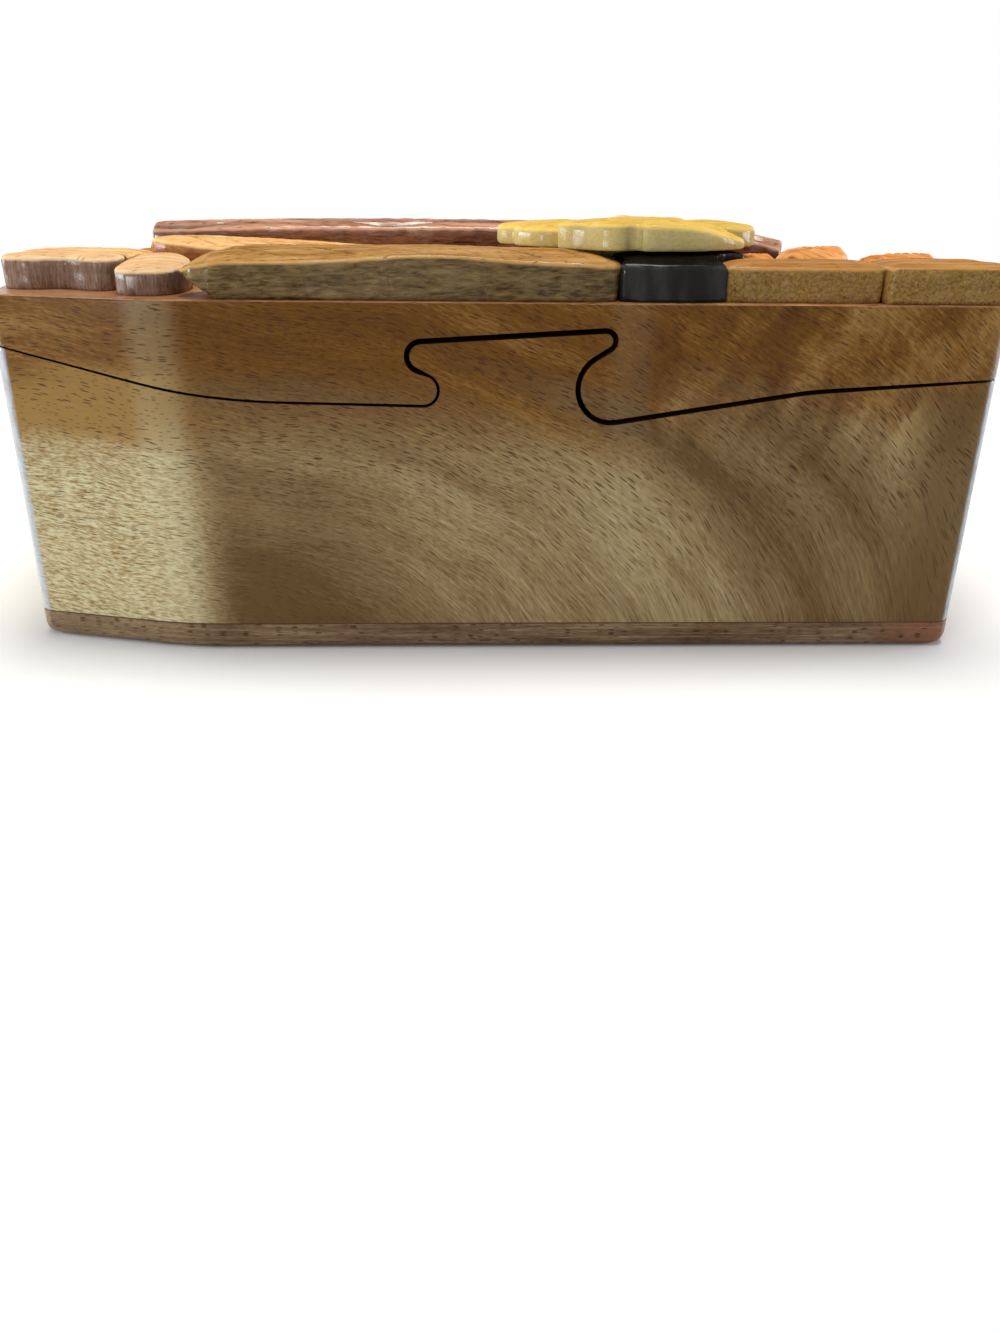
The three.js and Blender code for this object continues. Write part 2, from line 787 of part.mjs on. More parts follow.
// Neighbours may cut a crumb off a piece's corner, which isn't kept.
const largestBody = (part) =>
  part.decompose().reduce((most, body) => (body.volume() > most.volume() ? body : most));

function makeRelief() {
  const low = boxHeight - overrun;
  const high = boxHeight * 2;
  const field = solid(prism(boxOutline(reliefInset), low, high));
  const cutters = [];
  return reliefPieces.map(({ name, shape, top, raised, liftedTip, colour }) => {
    const placed = onLid(shape);
    let piece = solid(carve(placed, top)).intersect(field);
    if (raised) piece = piece.subtract(openBelow(raised, 0));
    if (liftedTip) piece = piece.subtract(wedgeBelow(liftedTip));
    const trimmed = cutters.reduce((left, cutter) => left.subtract(cutter), piece);
    const cutter = solid(prism(grownOutline(placed.outline, pieceGap), low, high));
    cutters.push(raised ? cutter.subtract(openBelow(raised, pieceGap)) : cutter);
    return pieceMesh(name, geometryOf(largestBody(trimmed)), colour, 0.4, 0);
  });
}

// Scene graph

function pieceMesh(name, geometry, colour, roughness, metalness) {
  const material = new THREE.MeshStandardMaterial({ color: colour, roughness, metalness });
  const mesh = new THREE.Mesh(geometry, material);
  mesh.name = name;
  return mesh;
}

const blockWood = 0x7a5a34;
const boardWood = 0x5a4230;
const liningFelt = 0x3a1f1c;
const nickel = 0xb8b9bc;

const body = new THREE.Group();
body.name = "box_body";
body.add(pieceMesh("body_block", makeBody(), blockWood, 0.35, 0));
body.add(pieceMesh("bottom_board", makeBottomBoard(), boardWood, 0.4, 0));
body.add(pieceMesh("floor_lining", makeFloorLining(), liningFelt, 0.95, 0));

const lid = new THREE.Group();
lid.name = "sliding_lid";
lid.add(pieceMesh("lid_slab", makeLid(), blockWood, 0.35, 0));
lid.add(...makeRelief());

for (const { name, x, low, high, up } of magnetPlaces) {
  const geometry = uprightCylinder(magnetRadius, low, high, x, 0);
  (up > 0 ? body : lid).add(pieceMesh(name, geometry, nickel, 0.25, 1));
}

const puzzleBox = new THREE.Group();
puzzleBox.add(body, lid);

export default puzzleBox;
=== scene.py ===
"""Looks of the wooden puzzle box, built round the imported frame. Metres, in the row frame."""
import json
import math

import bpy
import numpy as np
from mathutils import Matrix, Vector

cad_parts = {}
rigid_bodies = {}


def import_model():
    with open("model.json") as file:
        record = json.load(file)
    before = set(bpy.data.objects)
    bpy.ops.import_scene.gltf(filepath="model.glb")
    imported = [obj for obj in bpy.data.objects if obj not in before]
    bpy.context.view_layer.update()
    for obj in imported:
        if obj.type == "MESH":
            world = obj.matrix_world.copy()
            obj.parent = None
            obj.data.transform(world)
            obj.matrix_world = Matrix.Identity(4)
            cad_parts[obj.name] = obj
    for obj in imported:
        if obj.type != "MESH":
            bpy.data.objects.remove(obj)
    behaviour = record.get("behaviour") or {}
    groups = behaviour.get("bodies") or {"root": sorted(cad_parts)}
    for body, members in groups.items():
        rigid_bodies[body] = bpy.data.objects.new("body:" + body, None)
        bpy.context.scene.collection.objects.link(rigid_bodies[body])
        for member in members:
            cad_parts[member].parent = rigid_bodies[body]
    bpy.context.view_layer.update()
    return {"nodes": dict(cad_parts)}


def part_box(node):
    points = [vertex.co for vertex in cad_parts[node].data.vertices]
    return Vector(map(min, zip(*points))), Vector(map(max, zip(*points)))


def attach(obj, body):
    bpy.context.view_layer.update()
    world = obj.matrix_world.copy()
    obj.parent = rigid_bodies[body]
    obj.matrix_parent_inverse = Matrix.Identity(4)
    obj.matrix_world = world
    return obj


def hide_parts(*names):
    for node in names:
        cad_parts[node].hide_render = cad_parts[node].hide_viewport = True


for leftover in list(bpy.data.objects):
    bpy.data.objects.remove(leftover)

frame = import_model()
nodes = frame["nodes"]

MM = 0.001

# Driving sizes, in metres
SOFT_EDGE = 0.18 * MM
LID_EDGE = 0.3 * MM
MAGNET_EDGE = 0.25 * MM
CORNER_ROUND = 1.2 * MM
WALL = 12 * MM
VOXEL = 0.45 * MM
LINING_VOXEL = 0.6 * MM
GROOVE_DARK_DEPTH = 0.5 * MM
LINING_BASE = 0.3 * MM
NAP = 0.2 * MM

# How high each surface's fine grain stands, in metres
BLOCK_GRAIN = 0.12 * MM
BOARD_GRAIN = 0.1 * MM
RELIEF_GRAIN = 0.25 * MM
FELT_FUZZ = 0.4 * MM
METAL_SCRATCH = 0.03 * MM

# Tolerances, in metres
SAME_POINT = 0.001 * MM
SAME_CORNER = 0.1 * MM
NARROWEST = 0.1 * MM

# Places from the frame, in metres
LID_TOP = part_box("lid_slab")[1].z
BOARD_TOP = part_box("bottom_board")[1].z
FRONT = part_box("body_block")[0].y
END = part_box("body_block")[1].x

# Angles, rounds of smoothing, and shares
SHARP_ANGLE = math.radians(38)
FLAT_ANGLE = math.radians(0.3)
CRISP_SMOOTHING = 4
SOFT_SMOOTHING = 12
RELIEF_FACES_KEPT = 0.4
LINING_FACES_KEPT = 0.2
# How strongly the upright front corners are painted pale bluish as a highlight
CORNER_PAINTED_LIGHT = 0.8

# The lining's waves: their length and height in millimetres, and their random seed
LINING_WAVES = 17.0
LINING_WAVE_SIZE = 0.5
LINING_SEED = 91


# Meshes and objects

def point_rows(mesh, quality):
    """One quality of each point, "co" or "normal", as rows of x, y and z."""
    values = np.empty(len(mesh.vertices) * 3)
    mesh.vertices.foreach_get(quality, values)
    return values.reshape(-1, 3)


def front_corners(mesh):
    """The left and the right front corner of a solid, seen from above, in metres."""
    points = point_rows(mesh, "co")[:, :2]
    left = points[np.argmin(points[:, 0] + points[:, 1])]
    right = points[np.argmax(points[:, 0] - points[:, 1])]
    return left, right


def add_object(name, data):
    """A new object, linked to the scene."""
    item = bpy.data.objects.new(name, data)
    bpy.context.scene.collection.objects.link(item)
    return item


# Colours

def linear(value):
    share = value / 255
    if share <= 0.04045:
        return share / 12.92
    return ((share + 0.055) / 1.055) ** 2.4


def srgb(red, green, blue):
    """A colour written as screen values from 0 to 255."""
    return (linear(red), linear(green), linear(blue), 1.0)


# Node graphs

class Graph:
    """One material's node tree. A value may be a number, a colour or another node's output."""

    def __init__(self, name, tree=None):
        if tree is None:
            self.material = bpy.data.materials.new(name)
            self.material.use_nodes = True
            tree = self.material.node_tree
        self.tree = tree
        tree.nodes.clear()
        self.coords = None

    def add(self, kind, inputs=None, **settings):
        node = self.tree.nodes.new(kind)
        for key, value in settings.items():
            setattr(node, key, value)
        for key, value in (inputs or {}).items():
            self.put(node.inputs[key], value)
        return node

    def put(self, socket, value):
        if isinstance(value, bpy.types.NodeSocket):
            self.tree.links.new(value, socket)
        else:
            socket.default_value = value

    def math(self, operation, a, b=0.0, c=0.0, clamp=False):
        node = self.add("ShaderNodeMath", {0: a, 1: b, 2: c}, operation=operation, use_clamp=clamp)
        return node.outputs[0]

    def times(self, a, b):
        return self.math("MULTIPLY", a, b)

    def plus(self, a, b):
        return self.math("ADD", a, b)

    def fade(self, value, start, end, low=0.0, high=1.0):
        """From low at start to high at end, smoothly, and level outside them."""
        inputs = {"Value": value, "From Min": start, "From Max": end, "To Min": low, "To Max": high}
        node = self.add("ShaderNodeMapRange", inputs, interpolation_type="SMOOTHSTEP")
        return node.outputs["Result"]

    def mix(self, factor, a, b):
        node = self.add("ShaderNodeMix", data_type="RGBA")
        self.put(node.inputs[0], factor)
        self.put(node.inputs[6], a)
        self.put(node.inputs[7], b)
        return node.outputs[2]

    def between(self, share, a, b):
        """From a to b as the share goes from 0 to 1, for plain values."""
        return self.math("MULTIPLY_ADD", share, self.math("SUBTRACT", b, a), a)

    def swing(self, value, size):
        """A noise value turned into a change of a size, about zero."""
        return self.math("MULTIPLY_ADD", value, size, -size / 2)

    def vector(self, x, y, z):
        return self.add("ShaderNodeCombineXYZ", {0: x, 1: y, 2: z}).outputs[0]

    def scaled(self, axes, scales):
        """A point with each axis times its own scale; a small scale stretches a pattern along it."""
        return self.vector(*[self.times(axis, scale) for axis, scale in zip(axes, scales)])

    def ramp(self, factor, *stops):
        node = self.add("ShaderNodeValToRGB", {0: factor})
        elements = node.color_ramp.elements
        while len(elements) < len(stops):
            elements.new(0.5)
        for element, (place, colour) in zip(elements, stops):
            element.position = place
            element.color = colour
        return node.outputs[0]

    def noise(self, vector, scale=1.0, detail=2.0, roughness=0.5, distortion=0.0):
        inputs = {
            "Vector": vector,
            "Scale": scale,
            "Detail": detail,
            "Roughness": roughness,
            "Distortion": distortion,
        }
        return self.add("ShaderNodeTexNoise", inputs).outputs[0]

    def cells(self, vector):
        """Distance to the nearest of many scattered points, and a random grey for each."""
        node = self.add("ShaderNodeTexVoronoi", {"Vector": vector, "Scale": 1.0}, voronoi_dimensions="2D")
        split = self.add("ShaderNodeSeparateColor", {0: node.outputs["Color"]})
        return node.outputs["Distance"], split.outputs[0]

    def place(self):
        """The point on the object in millimetres, and the normal there, each as x, y and z."""
        if self.coords is None:
            source = self.add("ShaderNodeTexCoord")
            scaled = self.add(
                "ShaderNodeVectorMath", {0: source.outputs["Object"], "Scale": 1 / MM}, operation="SCALE"
            )
            point = self.add("ShaderNodeSeparateXYZ", {0: scaled.outputs[0]})
            facing = self.add("ShaderNodeSeparateXYZ", {0: source.outputs["Normal"]})
            self.coords = (tuple(point.outputs), tuple(facing.outputs))
        return self.coords

    def bump(self, height, distance, strength):
        """A surface whose height of 1 stands a distance in metres above 0."""
        inputs = {"Height": height, "Distance": distance, "Strength": strength}
        return self.add("ShaderNodeBump", inputs).outputs[0]

    def surface(self, **inputs):
        """Ends the graph in a Principled shader; underscores in the names stand for spaces."""
        named = {key.replace("_", " "): value for key, value in inputs.items()}
        shader = self.add("ShaderNodeBsdfPrincipled", named)
        self.finish(shader.outputs[0])
        return self.material

    def finish(self, shader):
        self.add("ShaderNodeOutputMaterial", {"Surface": shader})


# Wood, with its places and sizes in millimetres

LID_DARK = srgb(84, 46, 6)
LID_MID = srgb(120, 76, 20)
LID_LIGHT = srgb(176, 134, 74)
TOP_DARK = srgb(132, 84, 50)
TOP_LIGHT = srgb(206, 150, 104)
# The lower body's colours are paler and greener, partly as painted reflected haze
BODY_DARK = srgb(108, 80, 44)
BODY_MID = srgb(150, 123, 82)
BODY_LIGHT = srgb(200, 180, 134)
# GOLD and CREAM are painted sheen at the front's left end; CREAM also paints the reflection strips
GOLD = srgb(176, 136, 72)
CREAM = srgb(228, 218, 174)
PORE = srgb(56, 28, 6)
# A pale bluish colour, painted on edges and corners as a highlight
PAINTED_EDGE_LIGHT = srgb(188, 198, 210)
# A dark colour, painted as shade in the narrow cut
CUT_SHADE = srgb(46, 27, 14)
INSIDE_WOOD = srgb(150, 108, 66)
SHEEN_TINT = (1.0, 0.78, 0.5, 1.0)

# The block's growth rings: arches round a middle below the left part of the front
RING_MIDDLE = (-60.0, -10.0)
RING_FLATNESS = 0.3
RING_FALL = 0.1
RING_REACH = 120.0
RAY_LEAN = -0.42

# How light the wood is from the inner ring to the outer one, as (ring, lightness)
RINGS = [
    (18, 0.24), (34, 0.42), (40, 0.46), (48, 0.62), (60, 0.56), (69, 0.60),
    (74, 0.44), (80, 0.18), (86, 0.50), (92, 0.34), (100, 0.62),
]

# Where the block's wood and its painted sheen change, as (start, end) of each change in millimetres, along X
FIGURE_START = (-66.0, -50.0)
# Where the left end's painted sheen begins
LEFT_SHEEN = (-55.0, -69.0)
BROWN_PATCH = (-16.0, -42.0)
RAYS_START = (18.0, 40.0)
LIGHT_LID_END = (40.0, 92.0)
DARK_RIGHT = (80.0, 92.0)

# And upwards from the table
FIGURE_TOP = (56.0, 40.0)
BROWN_PATCH_TOP = (46.0, 34.0)
RAYS_RISE = (36.0, 54.0)
WARM_WOOD = (36.0, 60.0)
# Upper bounds of the painted sheen at the left, gold and cream
GOLD_TOP = (64.0, 52.0)
CREAM_TOP = (48.0, 34.0)
DARK_RIGHT_TOP = (62.0, 52.0)
# Upper bound of the painted reflection strip at the left
LEFT_REFLECTION_TOP = (54.0, 44.0)
CLEAR_PORES = (8.0, 46.0)

# Painted reflections: pale upright strips on the front, as (middle, half width)
LEFT_REFLECTION = (-67.0, 7.0)
RIGHT_REFLECTION = (26.0, 6.0)

# Pores, as (length, width), and how far the short ones are set off along the grain
LONG_PORE = (5.5, 0.62)
SHORT_PORE = (2.6, 0.55)
PORE_SHIFT = 37.0

# How far noise moves the rings, the rays and the borders between colours, in millimetres
RING_WANDER = 7.0
RAY_WANDER = 16.0
FIGURE_WANDER = 8.0
WARM_WANDER = 40.0
PALE_WANDER = 10.0
CREAM_WANDER = 20.0

# The sawn faces near the tongue, and the sanded walls of the hollow, as reaches from the middle
TONGUE_REACH = 40.0
HOLLOW_WIDE = (END - WALL) / MM + 2.0
HOLLOW_DEEP = (-FRONT - WALL) / MM + 0.3

# Every face above this height is varnished
VARNISHED_RIM = LID_TOP / MM - 0.8

# Painted highlight on an upright corner: none at the first distance from it, full at the second
CORNER_REACH = (1.8, 0.9)

# Facings: how far a face's normal points along an axis, or the change of that over an edge
SQUARE_ON = 0.7
LEVEL = (0.7, 0.9)
SIDEWAYS = 0.35
TILTED = 0.2
EDGE_FROM_FACE = (0.93, 0.8)
EDGE_FROM_SIDE = (0.3, 0.5)

# Gloss of the varnish, and how strongly the edges are painted pale as a highlight
VARNISH = 0.15
EDGE_GLOSS = 0.6
TOP_GLOSS = 0.15
EDGE_PAINTED_LIGHT = 0.15


def ring(g, x, z):
    """The growth ring's size: lines fall gently at the left and steeply at the lower right."""
    aside = g.math("MAXIMUM", g.plus(x, -RING_MIDDLE[0]), 0.0)
    above = g.plus(z, -RING_MIDDLE[1])
    square = g.plus(g.times(above, above), g.times(g.times(aside, aside), RING_FLATNESS))
    return g.plus(g.math("SQRT", square), g.times(x, RING_FALL))


def pores(g, along, across, length, width, amount, radius=0.17):
    """Short dark dashes along the grain: 1 in a pore, 0 outside. Sizes in millimetres."""
    spot = g.vector(g.math("DIVIDE", along, length), g.math("DIVIDE", across, width), 0.0)
    distance, random = g.cells(spot)
    inside = g.fade(distance, radius, 0.6 * radius)
    return g.times(inside, g.math("LESS_THAN", random, amount))


def block_grain(g):
    """Places along and across the grain of the block, and through it, on each of its faces."""
    (x, y, z), (nx, _, nz) = g.place()
    on_top = g.math("GREATER_THAN", g.math("ABSOLUTE", nz), SQUARE_ON)
    on_end = g.math("GREATER_THAN", g.math("ABSOLUTE", nx), SQUARE_ON)
    wander = g.noise(g.scaled((x, y, z), (0.03, 0.03, 0.03)))
    level = g.plus(ring(g, x, z), g.swing(wander, RING_WANDER))
    return g.between(on_end, x, y), g.between(on_top, level, y), g.between(on_top, y, z)


def block_rays(g, x, z, deep, band):
    """Leaning rays across the bands, strong at the upper right, about 0."""
    lean = g.plus(g.math("MULTIPLY_ADD", z, RAY_LEAN, x), g.swing(band, RAY_WANDER))
    ray = g.noise(g.scaled((lean, z, deep), (0.14, 0.04, 0.02)), detail=3.0, roughness=0.6)
    size = g.times(g.fade(x, *RAYS_START, 0.1, 1.2), g.fade(z, *RAYS_RISE, 0.15, 1.0))
    return g.times(g.plus(ray, -0.5), size)


def block_figure(g, along, across, deep):
    """Broad bands, rays across them at the right, and fine fibres and dashes, about 0.5."""
    (x, _, z), _ = g.place()
    grain = (along, across, deep)
    grey = [(size / RING_REACH, (light, light, light, 1.0)) for size, light in RINGS]
    rings = g.ramp(g.math("DIVIDE", across, RING_REACH), *grey)
    band = g.noise(g.scaled(grain, (0.014, 0.10, 0.02)), detail=3.0, roughness=0.55)
    fibre = g.noise(g.scaled(grain, (0.12, 2.2, 0.5)), detail=3.0, roughness=0.6)
    dash = g.noise(g.scaled(grain, (0.6, 2.8, 0.5)), roughness=0.6)
    body = g.times(g.fade(g.plus(x, g.swing(band, FIGURE_WANDER)), *FIGURE_START), g.fade(z, *FIGURE_TOP))
    figure = g.between(body, g.fade(x, *LIGHT_LID_END, 0.47, 0.62), rings)
    figure = g.plus(figure, g.swing(band, 0.9))
    patch = g.times(g.fade(z, *BROWN_PATCH_TOP), g.fade(x, *BROWN_PATCH, 0.0, -0.18))
    figure = g.plus(figure, g.times(body, patch))
    figure = g.plus(figure, block_rays(g, x, z, deep, band))
    figure = g.plus(g.plus(figure, g.swing(fibre, 0.6)), g.swing(dash, 0.5))
    return figure, band, fibre, dash


def stripe(g, x, middle, half_width):
    """1 along an upright line on the front, fading to 0 at both sides."""
    return g.fade(g.math("ABSOLUTE", g.plus(x, -middle)), half_width, 0.3 * half_width)


def near_line(g, x, y, spot):
    """1 at an upright line through a spot seen from above, fading to 0 beside it."""
    aside = g.plus(x, -float(spot[0]))
    behind = g.plus(y, -float(spot[1]))
    away = g.math("SQRT", g.plus(g.times(aside, aside), g.times(behind, behind)))
    return g.fade(away, *CORNER_REACH)


def block_colour(g, figure, band, fibre, dash):
    """Warm near the lid; paler olive below, partly as painted reflected haze; gold and cream at the left as
    painted sheen; painted reflection strips; dark at the right; brown on top.
    """
    (x, _, z), (_, _, nz) = g.place()
    upper = g.ramp(figure, (0.15, LID_DARK), (0.5, LID_MID), (0.9, LID_LIGHT))
    lower = g.ramp(figure, (0.15, BODY_DARK), (0.5, BODY_MID), (0.85, BODY_LIGHT))
    # Below, the paler colours stand partly for painted reflected haze
    height = g.plus(z, g.swing(band, WARM_WANDER))
    colour = g.mix(g.fade(height, *WARM_WOOD), lower, upper)

    # Painted sheen: the left end is coloured gold above and cream below, broken by the grain, as window
    # light on the varnish
    left = g.fade(g.plus(x, g.swing(fibre, PALE_WANDER)), *LEFT_SHEEN)
    gold = g.times(left, g.fade(height, *GOLD_TOP, 0.0, 0.7))
    colour = g.mix(gold, colour, GOLD)
    cream = g.times(left, g.fade(g.plus(z, g.swing(band, CREAM_WANDER)), *CREAM_TOP))
    speckle = g.plus(g.plus(0.6, g.swing(dash, 3.2)), g.swing(fibre, 1.6))
    colour = g.mix(g.math("MULTIPLY", cream, speckle, clamp=True), colour, CREAM)
    right = g.times(g.fade(x, *DARK_RIGHT), g.fade(z, *DARK_RIGHT_TOP, 0.0, 0.8))
    colour = g.mix(right, colour, BODY_DARK)
    # Painted reflections: pale upright strips on the front, a clear one at the left and a faint one at the
    # right
    streak = g.times(stripe(g, x, *LEFT_REFLECTION), g.fade(z, *LEFT_REFLECTION_TOP, 0.14, 0.3))
    pale = g.math("MAXIMUM", streak, g.times(stripe(g, x, *RIGHT_REFLECTION), 0.05))
    colour = g.mix(pale, colour, CREAM)
    top = g.ramp(figure, (0.2, TOP_DARK), (0.85, TOP_LIGHT))
    return g.mix(g.fade(nz, *LEVEL), colour, top)


def block_pores(g, along, across):
    """Long pores crowded in streaks, and short ones between them."""
    crowd = g.noise(g.scaled((along, across, 0.0), (0.02, 0.12, 0.0)))
    in_streaks = g.fade(crowd, 0.42, 0.58, 0.1, 0.85)
    elsewhere = g.fade(crowd, 0.6, 0.42, 0.2, 0.8)
    long_pores = pores(g, along, across, *LONG_PORE, in_streaks, 0.2)
    short_pores = pores(g, g.plus(along, PORE_SHIFT), across, *SHORT_PORE, elsewhere, 0.22)
    return g.math("MAXIMUM", long_pores, g.times(short_pores, 0.6))


def unvarnished(g):
    """1 on the sawn faces of the cut, and 1 on the sanded walls of the hollow."""
    (x, y, z), (_, ny, nz) = g.place()
    across = g.math("LESS_THAN", g.math("ABSOLUTE", ny), SIDEWAYS)
    wide = g.math("ABSOLUTE", x)
    tilted = g.math("GREATER_THAN", g.math("ABSOLUTE", nz), TILTED)
    cut = g.math("MAXIMUM", tilted, g.math("LESS_THAN", wide, TONGUE_REACH))
    below_top = g.math("LESS_THAN", z, VARNISHED_RIM)
    sawn = g.times(g.times(across, cut), below_top)
    thick = g.math("LESS_THAN", g.math("ABSOLUTE", y), HOLLOW_DEEP)
    inner = g.times(g.times(thick, g.math("LESS_THAN", wide, HOLLOW_WIDE)), below_top)
    return sawn, inner


def painted_corner_light(g, amount):
    """How much the upright front corners are painted pale bluish as a highlight, in patches."""
    (x, y, z), _ = g.place()
    left, right = [near_line(g, x, y, corner / MM) for corner in front_corners(nodes["body_block"].data)]
    patchy = g.noise(g.scaled((x, y, z), (0.8, 0.8, 0.28)), detail=3.0)
    return g.times(g.times(g.math("MAXIMUM", left, right), amount), g.fade(patchy, 0.35, 0.55, 0.55, 1.0))


def block_wood(name, corner_light_amount):
    """The block's wood; the second argument is how strongly its upright corners are painted pale bluish as a
    highlight.
    """
    g = Graph(name)
    (_, _, z), (_, ny, nz) = g.place()
    along, across, deep = block_grain(g)
    figure, band, fibre, dash = block_figure(g, along, across, deep)
    colour = block_colour(g, figure, band, fibre, dash)
    pore = block_pores(g, along, across)
    colour = g.mix(g.times(pore, g.fade(z, *CLEAR_PORES, 0.4, 0.8)), colour, PORE)

    sawn, inner = unvarnished(g)
    raw = g.math("MAXIMUM", sawn, inner)
    # Painted shade: the sawn faces inside the narrow cut are coloured dark
    colour = g.mix(sawn, colour, g.mix(g.times(fibre, 0.5), CUT_SHADE, LID_DARK))
    colour = g.mix(inner, colour, g.mix(fibre, LID_MID, INSIDE_WOOD))

    slant = g.math("ABSOLUTE", ny)
    outside = g.math("SUBTRACT", 1.0, raw)
    edge = g.times(g.times(g.fade(slant, *EDGE_FROM_FACE), g.fade(slant, *EDGE_FROM_SIDE)), outside)
    corner_light = painted_corner_light(g, corner_light_amount)
    # Painted highlight: the rounded edges of the front are coloured pale bluish
    colour = g.mix(g.times(edge, EDGE_PAINTED_LIGHT), colour, PAINTED_EDGE_LIGHT)
    # Painted highlight: the upright front corners are coloured pale bluish, and their varnish is glossier
    colour = g.mix(corner_light, colour, PAINTED_EDGE_LIGHT)
    shine = g.math("MAXIMUM", corner_light, g.times(edge, EDGE_GLOSS))
    shine = g.math("MAXIMUM", shine, g.fade(nz, *LEVEL, 0.0, TOP_GLOSS))
    return g.surface(
        Base_Color=colour,
        Roughness=g.math("MULTIPLY_ADD", raw, 0.3, g.plus(0.36, g.times(fibre, 0.1))),
        Normal=g.bump(g.plus(g.times(fibre, 0.5), g.times(pore, -1.0)), BLOCK_GRAIN, 0.5),
        Coat_Weight=g.plus(g.math("MULTIPLY_ADD", raw, -VARNISH, VARNISH), shine),
        Coat_Roughness=0.16,
        Specular_IOR_Level=0.15,
        Specular_Tint=SHEEN_TINT,
    )


BOARD_DARK = srgb(86, 58, 38)
BOARD_MID = srgb(132, 104, 74)
BOARD_LIGHT = srgb(176, 150, 116)
BOARD_RED = srgb(158, 96, 70)

# Where the board turns red at its right end and is painted lighter at its left one, as light falling from
# the left, and its dark seam's width
BOARD_RED_END = (78.0, 95.0)
BOARD_LEFT_LIGHT = (-55.0, -75.0)
BOARD_SEAM = 0.4
BOARD_PORE = (3.5, 0.8)
BOARD_WANDER = 4.0


def board_wood():
    g = Graph("board_wood")
    (x, y, z), _ = g.place()
    wander = g.noise(g.scaled((x, y, z), (0.02, 0.05, 1.0)))
    level = g.plus(z, g.times(wander, BOARD_WANDER))
    streak = g.noise(g.scaled((x, level, y), (0.03, 0.8, 0.5)), detail=4.0, roughness=0.6)
    fibre = g.noise(g.scaled((x, level, y), (0.3, 4.0, 3.0)), roughness=0.6)
    figure = g.plus(streak, g.swing(fibre, 0.6))
    colour = g.ramp(figure, (0.3, BOARD_DARK), (0.52, BOARD_MID), (0.76, BOARD_LIGHT))
    colour = g.mix(g.fade(x, *BOARD_RED_END, 0.0, 0.6), colour, BOARD_RED)
    # Painted light: the left end is coloured lighter, as light falling from the left
    colour = g.mix(g.fade(x, *BOARD_LEFT_LIGHT, 0.0, 0.35), colour, BOARD_LIGHT)
    pore = pores(g, x, level, *BOARD_PORE, 0.7, 0.22)
    colour = g.mix(g.times(pore, 0.75), colour, PORE)
    top = BOARD_TOP / MM
    seam = g.fade(z, top - BOARD_SEAM, top - 0.5 * BOARD_SEAM, 0.0, 0.8)
    colour = g.mix(seam, colour, PORE)
    normal = g.bump(g.plus(g.times(fibre, 0.5), g.times(pore, -1.0)), BOARD_GRAIN, 0.5)
    return g.surface(
        Base_Color=colour,
        Roughness=0.42,
        Normal=normal,
        Coat_Weight=0.25,
        Coat_Roughness=0.2,
        Specular_IOR_Level=0.2,
        Specular_Tint=SHEEN_TINT,
    )


# How the sawn sides of a piece are marked: changes per millimetre along it and upwards
HATCHED = (2.6, 0.3)
SPECKLED = (1.5, 1.8)
GRAINED = (0.3, 1.5)

# The relief's pores, as (length, width), and how far its grain wanders, in millimetres
RELIEF_PORE = (4.0, 0.8)
RELIEF_WANDER = 4.0


